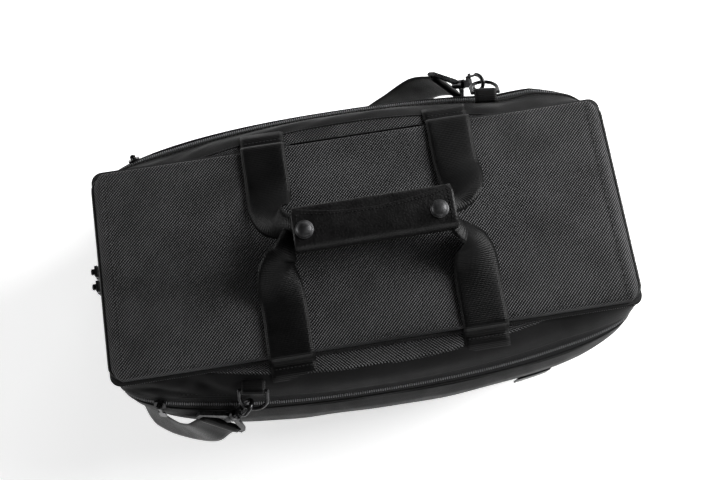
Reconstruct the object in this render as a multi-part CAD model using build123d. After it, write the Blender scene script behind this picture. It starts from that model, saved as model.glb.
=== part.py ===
"""Soft-sided carry case with a zipped lid, two padded pockets, webbing handles, a snap-on grip
and a clip-on shoulder strap.

Units are millimetres. X runs along the case, -Y is the front, +Z is up and the origin is the
centre of the bottom face. Every physical piece is written to its own STEP file in parts/.
"""

import math
import os

from build123d import *

# ---------------------------------------------------------------- driving dimensions
CASE_H = 200.0            # floor to the top of the lid
LID_HALF_X = 209.0        # flat part of the lid, up to the rolled ends
LID_HALF_Y = 88.0
LID_BOTTOM = 190.0
ROLL_X = 11.5             # how far the lid's rolled ends reach past the flat part
BAND = 2.0                # thickness of the lid's edge band
COIL_W = 3.0              # zipper coil, across
COIL_H = 1.5              # one half of the zipper coil, in height
COIL_GAP = 0.6            # between the two coil halves
PIPING_R = 1.6

BASE_T = 6.0
WALL_T = 4.0
RIM_Z = 187.5             # top face of the rim that the lid closes on
RIM_T = 3.0
WALL_OUT = 84.5           # outer face of the long walls at their ends
END_OUT = 222.0           # outer face of the end walls
BOW = 18.4                # how far the long sides bow out in the middle
BOW_HALF_X = 152.0

POCKET_HALF_X = 218.0
POCKET_POWER = 2.3        # shape of the pocket in plan
SKIN = 2.5                # pocket fabric with its padding
POCKET_FLOOR_Z = 12.0
# (distance out from the middle of the case, height) down the pocket's middle section
GUSSET = [(106.6, 187.0), (111.6, 182.5), (115.8, 177.5), (120.5, 170.0)]
TAPE = [(120.6, 169.8), (124.6, 164.0), (128.0, 158.2)]
FACE = [(128.1, 158.0), (132.6, 148.0), (134.8, 138.0), (134.4, 112.0), (131.6, 80.0), (127.4, 45.0),
        (122.0, POCKET_FLOOR_Z)]

WEB_W = 38.0              # webbing
WEB_T = 1.6
HANDLE_X = (-72.0, 88.0)  # where the handle legs are sewn down
GRIP_X = (-54.0, 75.0)
GRIP_Y = (-12.0, 22.0)
GRIP_Z = (224.0, 240.0)
LEATHER = 2.0
SNAP_X = (-46.0, 63.0)
SNAP_R = 7.5
BAIL = 3.3                # height of a slider's bail over the middle of its plate

RING_WIRE_R = 1.6
RING_INNER = 20.0
RING_DEPTH = 19.0
TAB_W = 19.0
CLAW_R = 7.2
CLAW_WIRE_R = 1.8
POST_R = 1.9
GATE_PIN = (8.8, 5.5)     # the gate's rivet, in the claw's own frame
LOOP_BAR_R = 2.0
LOOP_INNER = 39.0

TRAY_X = 211.0            # foam trays, outer half sizes
TRAY_Y = 79.0
FOAM_RAIL = 12.0
FOAM_WALL = 8.0
FOAM_FLOOR = 6.0
TRAY_H = 86.0

os.makedirs("parts", exist_ok=True)


# ---------------------------------------------------------------- helpers
def save(name, *solids):
    """Write one node, as one solid or as a group of separate solids."""
    shape = solids[0] if len(solids) == 1 else Compound(children=list(solids))
    export_step(shape, f"parts/{name}.step")


def block(x0, x1, y0, y1, z0, z1):
    """A box from its limits."""
    box = Box(x1 - x0, y1 - y0, z1 - z0)
    return Pos((x0 + x1) / 2, (y0 + y1) / 2, (z0 + z1) / 2) * box


def mirrored_y(shape):
    """The same shape on the other long side."""
    return shape.mirror(Plane.XZ)


def bow(x):
    """How far the top edge of the long side stands out at this place along the case."""
    return BOW * max(0.0, 1.0 - (x / BOW_HALF_X) ** 2)


def plump(s):
    """The pocket's fullness at s, where -1 and 1 are its two ends."""
    return math.sqrt(max(0.0, 1.0 - abs(s) ** POCKET_POWER))


def pocket_y(x, depth, inset=0.0):
    """Distance out of the pocket's skin at x, for a level whose middle stands out to depth."""
    top = LID_HALF_Y + 0.4 + bow(x)
    blend = min(1.0, max(0.0, (depth - 106.6) / (128.0 - 106.6)))
    full = LID_HALF_Y + 0.4 + (max(depth, 128.0) - inset - LID_HALF_Y) * plump(x / (POCKET_HALF_X - inset))
    return top - inset + blend * (full - top + inset)


def plan_points(depth, inset, count=17):
    """Points along the pocket's outline in plan, on the front side."""
    half = POCKET_HALF_X - inset
    points = []
    for i in range(count):
        x = half * math.sin(math.radians(-90.0 + 180.0 * i / (count - 1)))
        points.append((x, -pocket_y(x, depth, inset)))
    return points


def crescent(depth, z, skin=SKIN, out=0.0):
    """A closed outline: the pocket's outer and inner skin at one height."""
    outer = [(x, y, z) for x, y in plan_points(depth + out, 0.0)]
    inner = [(x, y, z) for x, y in plan_points(depth, skin)]
    outer_edge = Spline(*outer)
    inner_edge = Spline(*inner)
    left = Line(outer[0], inner[0])
    right = Line(inner[-1], outer[-1])
    return Wire([outer_edge, right, inner_edge, left])


def skin_between(levels, skin=SKIN, out=0.0):
    """The shell through a row of levels."""
    return Solid.make_loft([crescent(depth, z, skin, out) for depth, z in levels])


def ribbon(sections, thick=WEB_T):
    """A flat band through (centre, width direction, normal, width) sections."""
    wires = []
    for centre, across, normal, width in sections:
        c = Vector(*centre)
        a = Vector(*across).normalized() * (width / 2)
        n = Vector(*normal).normalized() * (thick / 2)
        corners = [c - a - n, c + a - n, c + a + n, c - a + n]
        wires.append(Wire.make_polygon(corners, close=True))
    return Solid.make_loft(wires, ruled=True)


def band_along(points, across, width, thick=WEB_T):
    """A ribbon along points, each with its own width direction."""
    sections = []
    for i, point in enumerate(points):
        before = Vector(*points[max(0, i - 1)])
        after = Vector(*points[min(len(points) - 1, i + 1)])
        travel = (after - before).normalized()
        side = Vector(*across[i])
        side = (side - travel * side.dot(travel)).normalized()
        normal = travel.cross(side)
        wide = width[i] if isinstance(width, (list, tuple)) else width
        sections.append((point, tuple(side), tuple(normal), wide))
    return ribbon(sections, thick)


def placed(shape, origin, x_dir, z_dir):
    """Move a shape from its own frame to a place on the case."""
    return Plane(origin=origin, x_dir=x_dir, z_dir=z_dir).location * shape


# ---------------------------------------------------------------- body of the case
def long_wall():
    """The front wall, bowed outwards, below the rim."""
    outer = [(x, -(WALL_OUT + bow(x))) for x in (-217.6, *range(-192, 193, 24), 217.6)]
    inner = [(x, y + WALL_T) for x, y in outer]
    sketch = make_face(Polyline(*outer, *reversed(inner), close=True))
    return Pos(0, 0, BASE_T) * extrude(sketch, RIM_Z - RIM_T - BASE_T)


def shoulder():
    """The narrow top panel between the lid opening and the bowed front edge."""
    outer = [(x, -(WALL_OUT + 0.4 + bow(x))) for x in range(-216, 217, 18)]
    sketch = make_face(Polyline(*outer, (216, -80), (-216, -80), close=True))
    return Pos(0, 0, RIM_Z - RIM_T) * extrude(sketch, RIM_T)


def end_wall():
    """The right end wall."""
    wall = block(END_OUT - WALL_T, END_OUT, -WALL_OUT, WALL_OUT, BASE_T, RIM_Z)
    return fillet(wall.edges().filter_by(Axis.Z).group_by(Axis.X)[-1], 3.0)


def base_panel():
    """The stiff bottom."""
    outer = [(x, -(WALL_OUT + bow(x))) for x in range(-216, 217, 24)]
    rear = [(x, -y) for x, y in reversed(outer)]
    ends = [(END_OUT, -78), (END_OUT, 78)]
    other = [(-END_OUT, 78), (-END_OUT, -78)]
    return extrude(make_face(Polyline(*outer, *ends, *rear, *other, close=True)), BASE_T)


def zip_ring(z0, z1, tape_z0, tape_z1):
    """One half of the lid's zipper: its coil, and the tape that is sewn to the panel beside it."""
    out_x = LID_HALF_X + ROLL_X + 0.2 + COIL_W
    out_y = LID_HALF_Y + BAND + COIL_W
    outer = extrude(RectangleRounded(2 * out_x, 2 * out_y, 6), z1 - z0)
    inner = extrude(RectangleRounded(2 * (out_x - COIL_W), 2 * (out_y - COIL_W), 2), z1 - z0)
    coil = Pos(0, 0, z0) * (outer - inner)
    tape_out = extrude(RectangleRounded(2 * out_x - 2, 2 * out_y - 2, 5), tape_z1 - tape_z0)
    tape_in = extrude(RectangleRounded(2 * (END_OUT - 5), 2 * (WALL_OUT - 2), 2), tape_z1 - tape_z0)
    ring = coil + Pos(0, 0, tape_z0) * (tape_out - tape_in)
    return ring - block(-50, 66, 70, 120, 180, 210)


# ---------------------------------------------------------------- lid
def lid_panel():
    """The padded flat panel of the lid."""
    return block(-LID_HALF_X, LID_HALF_X, -LID_HALF_Y, LID_HALF_Y, LID_BOTTOM, CASE_H)


def lid_roll():
    """The rounded right end of the lid."""
    height = CASE_H - LID_BOTTOM
    quarter = []
    for i in range(9):
        a = math.radians(90.0 - 90.0 * i / 8)
        quarter.append((LID_HALF_X + ROLL_X * math.cos(a), LID_BOTTOM + height * math.sin(a)))
    quarter.append((LID_HALF_X, LID_BOTTOM))
    profile = Plane.XZ * make_face(Polyline(*quarter, close=True))
    return Pos(0, LID_HALF_Y, 0) * extrude(profile, 2 * LID_HALF_Y)


def lid_band():
    """The narrow band down the lid's front edge."""
    return block(-LID_HALF_X, LID_HALF_X, -LID_HALF_Y - BAND, -LID_HALF_Y, LID_BOTTOM, CASE_H - 1.0)


def lid_piping():
    """The round cord in the seam at the right end of the lid."""
    rod = Cylinder(PIPING_R, 2 * LID_HALF_Y - 4)
    return Pos(LID_HALF_X + ROLL_X + 1.4, 0, LID_BOTTOM + COIL_H + PIPING_R + 0.2) * (Rot(90, 0, 0) * rod)


# ---------------------------------------------------------------- pockets
def pocket_floor():
    """The bottom of the front pocket."""
    depth = FACE[-1][0]
    outer = plan_points(depth - 0.3, SKIN + 0.3)
    inner = [(x, -(WALL_OUT + 0.3 + bow(x))) for x in range(-192, 193, 24)]
    sketch = make_face(Polyline(*outer, *reversed(inner), close=True))
    return Pos(0, 0, POCKET_FLOOR_Z) * extrude(sketch, SKIN)


def pocket_zip():
    """Zipper tape of the front pocket, with its coil standing out along the middle."""
    tape = skin_between(TAPE, 1.2)
    coil = skin_between([(123.6, 165.6), (125.6, 162.4)], 1.4, 1.3)
    return tape + coil


def pocket_frame(x, depth, z, out):
    """Origin, tangent and outward normal on the front pocket's skin."""
    step = 4.0
    y0 = -pocket_y(x - step, depth)
    y1 = -pocket_y(x + step, depth)
    tangent = Vector(2 * step, y1 - y0, 0).normalized()
    upward = Vector(0, 0.58, 0.81)
    normal = tangent.cross(upward).normalized()
    origin = Vector(x, -pocket_y(x, depth), z) + normal * out
    return origin, tangent, normal


# ---------------------------------------------------------------- zipper sliders
def slider_body():
    """A zipper slider lying in XY, coil along X, with a bail for its pull."""
    plate = fillet(Box(10, 7, 2.0).edges().filter_by(Axis.Z), 1.8)
    ear = Pos(0, 0, 2.6) * Box(1.0, 2.6, 3.4)
    pin = Pos(0, 0, BAIL) * (Rot(0, 90, 0) * Cylinder(0.7, 4.4))
    return plate + Pos(1.9, 0, 0) * ear + Pos(-1.9, 0, 0) * ear + pin


def pull_tab():
    """The pull, hanging along -X from its hole at the origin, with its width along Y."""
    strap = Pos(-12.2, 0, 0) * Box(22, 2.4, 1.2)
    wide = Pos(-19.0, 0, 0) * Box(12, 6.0, 1.2)
    eye = Rot(90, 0, 0) * Cylinder(1.7, 2.4)
    hole = Rot(90, 0, 0) * Cylinder(0.76, 5)
    return strap + wide + eye - hole


# ---------------------------------------------------------------- handles and grip
def handle_webbing(level, overlap):
    """The front handle: two legs sewn under the pocket seam, joined by the part in the grip."""
    over_edge = [(-106.5, 189.2), (-98.0, 190.2), (-94.6, 193.4), (-92.6, 199.4)]
    over_edge += [(-89.0, 201.8), (-80.0, 202.2), (-60.0, 203.0), (-44.0, 206.5)]
    x_left, x_right = HANDLE_X
    y_grip = (GRIP_Y[0] + GRIP_Y[1]) / 2 + overlap
    points = []
    across = []
    width = []
    for y, z in over_edge:
        points.append((x_left, y, z))
        across.append((1, 0, 0))
        width.append(WEB_W if y < -50 else WEB_W - 3)
    turn = [((x_left, -28, 213), (1, -0.15, 0.1), 30)]
    turn += [((x_left + 0.5, -14, 221), (0.85, -0.5, 0.0), 23)]
    turn += [((x_left + 8, y_grip - 3, level), (0.45, -0.9, 0.0), 18)]
    turn += [((GRIP_X[0] + 4, y_grip, level), (0, -1, 0), 18)]
    for point, side, wide in turn:
        points.append(point)
        across.append(side)
        width.append(wide)
    other = [((GRIP_X[1] - 4, y_grip, level), (0, -1, 0), 18)]
    other += [((x_right - 6, y_grip - 3, level), (-0.45, -0.9, 0.0), 18)]
    other += [((x_right + 0.5, -14, 221), (-0.85, -0.5, 0.0), 23)]
    other += [((x_right, -28, 213), (-1, -0.15, 0.1), 30)]
    for point, side, wide in other:
        points.append(point)
        across.append(side)
        width.append(wide)
    for y, z in reversed(over_edge):
        points.append((x_right, y, z))
        across.append((-1, 0, 0))
        width.append(WEB_W if y < -50 else WEB_W - 3)
    return band_along(points, across, width)


def strip_profile(path, thick):
    """A strip of even thickness along a path of (y, z) points, run along the grip."""
    line = Polyline(*path)
    offset_line = offset(line, thick / 2, side=Side.BOTH)
    return make_face(offset_line)


def along_grip(face, x0, x1):
    """Extrude a profile drawn as (y, z) from x0 to x1."""
    return Pos(x0, 0, 0) * extrude(Plane.YZ * face, x1 - x0)


def grip_wrap():
    """The leather under the webbing, turned up behind it and over its top."""
    y0, y1 = GRIP_Y
    z0, z1 = GRIP_Z
    path = [(y0 + 3, z0 + 1), (y1 - 4, z0 + 1), (y1 - 1, z0 + 4)]
    path += [(y1 - 1, z1 - 4), (y1 - 4, z1 - 1), (y0 + 8, z1 - 1)]
    solid = along_grip(strip_profile(path, LEATHER), GRIP_X[0], GRIP_X[1])
    for x in SNAP_X:
        solid = solid - Pos(x, 1.0, z1) * Cylinder(2.4, 8)
    return solid


def grip_flap():
    """The leather flap that closes over the front and top of the grip."""
    y0, y1 = GRIP_Y
    z0, z1 = GRIP_Z
    path = [(y0 - 1.2, z0 + 1.5), (y0 - 1.6, z1 - 3), (y0 + 2, z1 + 1.6), (y1 - 3, z1 + 1.9)]
    solid = along_grip(strip_profile(path, LEATHER), GRIP_X[0] - 1, GRIP_X[1] + 1)
    corners = solid.edges().filter_by(Axis.Z).sort_by(Axis.Y)[-2:]
    for x in SNAP_X:
        solid = solid - Pos(x, 1.0, z1 + 1.6) * Cylinder(2.4, 8)
    return solid


def snap_cap():
    """A domed snap cap with its socket tube."""
    dome = Sphere(12.0) & Pos(0, 0, 12.0 - 1.2) * Box(30, 30, 2.4)
    dome = Pos(0, 0, -9.6) * dome
    disc = Pos(0, 0, -0.3) * Cylinder(SNAP_R - 0.4, 0.8)
    return dome + disc + Pos(0, 0, -1.4) * Cylinder(2.3, 2.2)


def snap_stud():
    """The stud on the under layer, which the cap's socket closes on."""
    return Cylinder(2.3, 2.4) + Pos(0, 0, -1.7) * Cylinder(5.0, 1.0)


# ---------------------------------------------------------------- strap hardware
def ring_tab():
    """A folded webbing tab around the ring's bar, which runs along X at the origin; its tail runs to +Y."""
    sleeve = Rot(0, 90, 0) * Cylinder(RING_WIRE_R + 1.5, TAB_W)
    tail = Pos(0, 7.8, 0) * Box(TAB_W, 15.6, 2.6)
    hole = Rot(0, 90, 0) * Cylinder(RING_WIRE_R + 0.06, TAB_W + 2)
    return sleeve + tail - hole


def d_ring():
    """A D-ring in XY: bar along X at the origin, bow towards -Y."""
    half = RING_INNER / 2 + RING_WIRE_R
    leg = RING_DEPTH - half
    path = Wire([Line((-half, 0), (-half, -leg)), ThreePointArc((-half, -leg), (0, -leg - half), (half, -leg)),
                 Line((half, -leg), (half, 0))])
    section = Plane(origin=(-half, 0, 0), z_dir=(0, -1, 0)) * Circle(RING_WIRE_R)
    bent = sweep(section, path=path)
    bar = Rot(0, 90, 0) * Cylinder(RING_WIRE_R, 2 * half)
    ends = Pos(-half, 0, 0) * Sphere(RING_WIRE_R) + Pos(half, 0, 0) * Sphere(RING_WIRE_R)
    return bent + bar + ends


def hook_claw():
    """A snap hook's claw in XY, open towards +Y, with its shank along +X and a swivel post."""
    start = 95.0
    sweep_deg = 233.0
    arc = CenterArc((0, 0), CLAW_R, start, sweep_deg)
    section = Plane(origin=arc @ 0, z_dir=arc % 0) * Circle(CLAW_WIRE_R)
    claw = sweep(section, path=Wire([arc]))
    tip = Pos(*(arc @ 0)) * Sphere(CLAW_WIRE_R)
    shank = Pos(11.0, 0, 0) * Box(9.0, 7.0, 3.6)
    heel = Pos(6.4, -3.0, 0) * Box(5.0, 4.0, 3.2)
    ears = Pos(GATE_PIN[0], 4.9, 1.6) * Box(3.0, 3.4, 0.5) + Pos(GATE_PIN[0], 4.9, -1.6) * Box(3.0, 3.4, 0.5)
    rivet = Pos(*GATE_PIN, 0) * Cylinder(0.8, 3.4)
    head = Pos(17.0, 0, 0) * (Rot(0, 90, 0) * Cylinder(4.2, 4.0))
    post = Pos(22.0, 0, 0) * (Rot(0, 90, 0) * Cylinder(POST_R, 7.0))
    button = Pos(26.2, 0, 0) * (Rot(0, 90, 0) * Cylinder(3.2, 1.6))
    return claw + tip + shank + heel + ears + rivet + head + post + button


def hook_gate():
    """The sprung gate that closes the claw's mouth, with a thumb stud."""
    px, py = GATE_PIN
    knuckle = Pos(px, py, 0) * Cylinder(1.5, 2.4)
    bar = Pos((px + 1.6) / 2, (py + 6.9) / 2, 0) * (Rot(0, 0, 172) * (Rot(0, 90, 0) * Cylinder(1.1, px - 2.2)))
    stud = Pos(px - 1.6, py + 2.0, 0) * Box(1.8, 2.6, 2.2)
    return knuckle + bar + stud - Pos(px, py, 0) * Cylinder(0.86, 4)


def hook_loop():
    """The webbing loop of the hook in XY: a cross piece with the post's hole, two arms and the bar."""
    half = LOOP_INNER / 2
    outer = [(19.6, -6), (19.6, 6), (33.0, half + 4), (38, half + 4), (38, -half - 4), (33.0, -half - 4)]
    inner = [(25.0, -5.5), (25.0, 5.5), (33.4, half), (40, half), (40, -half), (33.4, -half)]
    plate = extrude(make_face(Polyline(*outer, close=True)), 3.6)
    window = Pos(0, 0, -1) * extrude(make_face(Polyline(*inner, close=True)), 6)
    frame = Pos(0, 0, -1.8) * (plate - window)
    boss = Pos(22.3, 0, 0) * (Rot(0, 90, 0) * Cylinder(4.0, 5.0))
    bar = Pos(38, 0, 0) * (Rot(90, 0, 0) * Cylinder(LOOP_BAR_R, LOOP_INNER + 8))
    hole = Pos(22.3, 0, 0) * (Rot(0, 90, 0) * Cylinder(POST_R + 0.06, 12))
    return frame + boss + bar - hole


def unit(vector):
    """The vector scaled to length one."""
    return Vector(*vector).normalized()


class Clip:
    """Where one D-ring and its hook sit: the ring's bar and bow, and the hook's axis and bar direction."""

    def __init__(self, bar, bar_dir, bow_dir, hook_dir, loop_dir, link_deg):
        self.bar = Vector(*bar)
        self.e1 = unit(bar_dir)
        fall = unit(bow_dir)
        self.e2 = (fall - self.e1 * fall.dot(self.e1)).normalized()
        self.u = unit(hook_dir)
        half = RING_INNER / 2 + RING_WIRE_R
        centre = self.bar + self.e2 * (RING_DEPTH - half)
        lean = math.copysign(math.sin(math.radians(link_deg)), self.u.dot(self.e1))
        side = self.e1 * lean + self.e2 * math.cos(math.radians(link_deg))
        self.wire = centre + side * half
        tangent = (self.e1 * side.dot(self.e2) - self.e2 * side.dot(self.e1)).normalized()
        self.claw_normal = (self.u * tangent.dot(self.u) - tangent).normalized()
        self.claw_origin = self.wire + self.u * 1.6
        loop = unit(loop_dir)
        self.b = (loop - self.u * loop.dot(self.u)).normalized()
        self.loop_bar = self.claw_origin + self.u * 38.0

    def ring(self, shape):
        """Place a shape drawn in the ring's own frame."""
        return placed(shape, self.bar, self.e1, self.e1.cross(self.e2 * -1.0))

    def tab(self, shape, inward):
        """Place the tab, whose tail runs inward."""
        tail = unit(inward)
        tail = (tail - self.e1 * tail.dot(self.e1)).normalized()
        return placed(shape, self.bar, self.e1, self.e1.cross(tail))

    def claw(self, shape):
        """Place a shape drawn in the claw's own frame."""
        return placed(shape, self.claw_origin, self.u, self.claw_normal)

    def loop(self, shape):
        """Place a shape drawn in the loop's own frame."""
        return placed(shape, self.claw_origin, self.u, self.u.cross(self.b))


FRONT_CLIP = Clip((-108.0, -112.5, 189.2), (0.987, -0.16, 0.0), (0.0, -0.72, -0.69), (-0.70, -0.17, -0.69),
                  (-0.68, 0.35, 0.66), 30.0)
REAR_CLIP = Clip((127.5, 114.0, 189.2), (-0.99, 0.10, 0.0), (0.10, 0.78, -0.62), (-0.65, 0.32, -0.69),
                 (-0.55, 0.25, 0.79), 20.0)


def strap_path():
    """The shoulder strap's centre line: front hook, round the left end, folded behind, rear hook."""
    f = FRONT_CLIP
    r = REAR_CLIP
    z = WEB_W / 2 + 0.4
    up = (0.0, 0.0, 1.0)
    first = f.loop_bar + f.u * 3.4
    last = r.loop_bar + r.u * 3.4
    rows = [(tuple(first), tuple(f.b)), (tuple(first + f.u * 26), tuple(f.b))]
    rows += [((-183, -128, 110), (-0.35, 0.15, 0.93)), ((-198, -121, 101), (-0.15, 0.0, 1.0))]
    rows += [((-208, -113, 92), up), ((-218, -101, 81), up), ((-227, -84, 68), up), ((-230, -50, 49), up)]
    rows += [((-231, 0, 33), up), ((-231, 50, 24), up), ((-229, 82, z + 1), up), ((-221, 105, z), up)]
    rows += [((-208, 124, z), up), ((-180, 136, z), up), ((-120, 143, z), up), ((-40, 147, z), up)]
    rows += [((60, 149, z), up), ((96, 150, z), up), ((106, 152, z), up)]
    rows += [((109, 155, z), up), ((106, 158, z), up)]
    rows += [((96, 160, z), up), ((40, 159, z), up), ((-20, 158, z), up)]
    rows += [((-30, 159, z), up), ((-33, 162, z), up)]
    rows += [((-30, 165, z), up), ((-20, 166, z), up), ((4, 165, z + 3), up), ((26, 162, z + 16), up)]
    rows += [((44, 158, z + 45), (-0.2, 0.05, 0.97)), ((60, 154, z + 76), (-0.45, 0.15, 0.85))]
    rows += [(tuple(last + r.u * 24), tuple(r.b)), (tuple(last), tuple(r.b))]
    return rows


def shoulder_strap():
    """The webbing strap with a sewn loop round each hook's bar."""
    rows = strap_path()
    strap = band_along([p for p, _ in rows], [w for _, w in rows], WEB_W)
    for clip in (FRONT_CLIP, REAR_CLIP):
        shell = Cylinder(LOOP_BAR_R + 0.1 + WEB_T, WEB_W) - Cylinder(LOOP_BAR_R + 0.1, WEB_W + 2)
        strap = strap + placed(shell, clip.loop_bar, clip.u, clip.b)
    return strap


# ---------------------------------------------------------------- foam trays
def tray(z0, cells, spine):
    """One foam tray: its floor, its side rails with the end walls, and its dividers."""
    floor = block(-TRAY_X, TRAY_X, -TRAY_Y, TRAY_Y, z0, z0 + FOAM_FLOOR)
    z1 = z0 + FOAM_FLOOR
    z2 = z0 + TRAY_H
    rails = []
    for side in (-1, 1):
        edge = side * (TRAY_Y - FOAM_RAIL / 2)
        rails.append(block(-TRAY_X, TRAY_X, edge - FOAM_RAIL / 2, edge + FOAM_RAIL / 2, z1, z2))
    inner_y = TRAY_Y - FOAM_RAIL
    ends = []
    for side in (-1, 1):
        edge = side * (TRAY_X - FOAM_RAIL / 2)
        ends.append(block(edge - FOAM_RAIL / 2, edge + FOAM_RAIL / 2, -inner_y, inner_y, z1, z2))
    inner_x = TRAY_X - FOAM_RAIL
    pitch = (2 * inner_x + FOAM_WALL) / cells
    dividers = []
    for i in range(1, cells):
        x = -inner_x - FOAM_WALL + i * pitch
        if spine:
            dividers.append(block(x, x + FOAM_WALL, -inner_y, -FOAM_WALL / 2, z1, z2))
            dividers.append(block(x, x + FOAM_WALL, FOAM_WALL / 2, inner_y, z1, z2))
        else:
            dividers.append(block(x, x + FOAM_WALL, -inner_y, inner_y, z1, z2))
    middle = block(-inner_x, inner_x, -FOAM_WALL / 2, FOAM_WALL / 2, z1, z2)
    return floor, rails, ends, dividers, middle


# ---------------------------------------------------------------- build every node
save("base_panel", base_panel())
save("front_wall", long_wall())
save("back_wall", mirrored_y(long_wall()))
save("right_end_wall", end_wall())
save("left_end_wall", end_wall().mirror(Plane.YZ))
save("front_shoulder", shoulder())
save("back_shoulder", mirrored_y(shoulder()))

lower_z1 = LID_BOTTOM - COIL_GAP
save("lid_zip_lower", zip_ring(lower_z1 - COIL_H, lower_z1, RIM_Z + 0.1, RIM_Z + 0.7))
save("lid_zip_upper", zip_ring(LID_BOTTOM, LID_BOTTOM + COIL_H, LID_BOTTOM - 0.2, LID_BOTTOM))
hinge_y = LID_HALF_Y + BAND + 0.3
save("lid_hinge_strip", block(-48, 64, hinge_y, hinge_y + 1.5, RIM_Z + 0.1, LID_BOTTOM + 6))

save("lid_panel", lid_panel())
save("lid_right_roll", lid_roll())
save("lid_left_roll", lid_roll().mirror(Plane.YZ))
save("lid_edge_bands", lid_band(), mirrored_y(lid_band()))
save("lid_piping", lid_piping(), lid_piping().mirror(Plane.YZ))

for side in ("front", "rear"):
    face = skin_between(FACE)
    gusset = skin_between(GUSSET)
    zipper = pocket_zip()
    floor_panel = pocket_floor()
    if side == "rear":
        face = mirrored_y(face)
        gusset = mirrored_y(gusset)
        zipper = mirrored_y(zipper)
        floor_panel = mirrored_y(floor_panel)
    save(f"{side}_pocket_face", face)
    save(f"{side}_pocket_gusset", gusset)
    save(f"{side}_pocket_zip", zipper)
    save(f"{side}_pocket_floor", floor_panel)

save("front_patch", block(118, 148, -pocket_y(118, 134.8) - 2.8, -pocket_y(118, 134.8) - 0.5, 96, 124))

web_front = handle_webbing(229.4, -6.5)
web_rear = mirrored_y(handle_webbing(234.6, -14.0))
save("front_handle_webbing", web_front)
save("rear_handle_webbing", web_rear)
save("grip_wrap", grip_wrap())
save("grip_flap", grip_flap())
save("snap_caps", *[Pos(x, 1.0, GRIP_Z[1] + 3.5) * snap_cap() for x in SNAP_X])
save("snap_studs", *[Pos(x, 1.0, GRIP_Z[1] - 1.4) * snap_stud() for x in SNAP_X])

save("front_ring_tab", FRONT_CLIP.tab(ring_tab(), (0, 1, 0)))
save("rear_ring_tab", REAR_CLIP.tab(ring_tab(), (0, -1, 0)))
for name, clip in (("front", FRONT_CLIP), ("rear", REAR_CLIP)):
    save(f"{name}_d_ring", clip.ring(d_ring()))
    save(f"{name}_hook_claw", clip.claw(hook_claw()))
    save(f"{name}_hook_gate", clip.claw(hook_gate()))
    save(f"{name}_hook_loop", clip.loop(hook_loop()))
save("shoulder_strap", shoulder_strap())

slider_x = -(LID_HALF_X + ROLL_X + 0.2 + COIL_W + 0.5 + 1.0)
slider_z = LID_BOTTOM - COIL_GAP / 2
for name, side in (("front", -1), ("rear", 1)):
    at = (slider_x, side * 6.5, slider_z)
    save(f"lid_slider_{name}", placed(slider_body(), at, (0, 1, 0), (-1, 0, 0)))
    pin = (slider_x - BAIL, side * 6.5, slider_z)
    save(f"lid_pull_{name}", placed(pull_tab(), pin, (0, 0, 1), (-1, 0, 0)))

SLIDER_X = -188.0
origin, tangent, normal = pocket_frame(SLIDER_X, 124.6, 164.0, 3.4)
pin = origin + normal * BAIL
slider = placed(slider_body(), origin, tangent, normal)
hang = unit(Vector(0.0, 0.0, 1.0) + Vector(-tangent.Y, tangent.X, 0.0) * 0.22)
pull = placed(pull_tab(), pin, hang, tangent.cross(hang))
save("front_pocket_slider", slider)
save("front_pocket_pull", pull)
save("rear_pocket_slider", mirrored_y(slider))
save("rear_pocket_pull", mirrored_y(pull))

lower_floor, lower_rails, lower_ends, lower_dividers, _ = tray(BASE_T + 1.0, 3, False)
upper_floor, upper_rails, upper_ends, upper_dividers, upper_spine = tray(BASE_T + 1.0 + TRAY_H + 1.0, 6, True)
save("lower_tray_floor", lower_floor)
save("lower_tray_rails", *lower_rails, *lower_ends)
save("lower_tray_dividers", *lower_dividers)
save("upper_tray_floor", upper_floor)
save("upper_tray_rails", *upper_rails, *upper_ends)
save("upper_tray_spine", upper_spine)
save("upper_tray_dividers", *upper_dividers)
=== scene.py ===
import math

import bpy
from mathutils import Matrix, Quaternion, Vector, noise


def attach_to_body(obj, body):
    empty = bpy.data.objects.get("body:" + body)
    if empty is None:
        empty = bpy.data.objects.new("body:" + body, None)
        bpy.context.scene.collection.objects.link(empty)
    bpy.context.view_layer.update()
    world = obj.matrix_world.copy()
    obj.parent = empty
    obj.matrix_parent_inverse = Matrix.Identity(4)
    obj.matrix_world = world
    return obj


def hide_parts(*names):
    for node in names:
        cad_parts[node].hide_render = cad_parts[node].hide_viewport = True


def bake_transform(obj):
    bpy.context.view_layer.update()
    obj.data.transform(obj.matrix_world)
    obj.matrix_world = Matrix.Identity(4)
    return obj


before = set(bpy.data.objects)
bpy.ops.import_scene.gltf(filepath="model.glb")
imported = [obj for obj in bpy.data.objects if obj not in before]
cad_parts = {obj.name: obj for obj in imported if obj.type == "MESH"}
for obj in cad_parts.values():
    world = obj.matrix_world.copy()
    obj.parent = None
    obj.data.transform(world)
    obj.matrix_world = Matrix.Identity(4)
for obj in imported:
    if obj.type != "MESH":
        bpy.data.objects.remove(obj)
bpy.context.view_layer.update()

MM = 0.001
LID_X = 209.0
LID_Y = 88.0
ROLL = 11.5
LID_Z = 190.0
TOP_Z = 200.0
RIM_Z = 187.5
BOW = 18.4
BOW_X = 152.0
POCKET_X = 218.0
WEB = 38.0
GUSSET = [(106.6, 187.0), (111.6, 182.5), (115.8, 177.5), (120.5, 170.0)]
FACE = [(128.1, 158.0), (132.6, 148.0), (134.8, 138.0), (134.4, 112.0)]
FACE += [(131.6, 80.0), (127.4, 45.0), (122.0, 12.0)]


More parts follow.
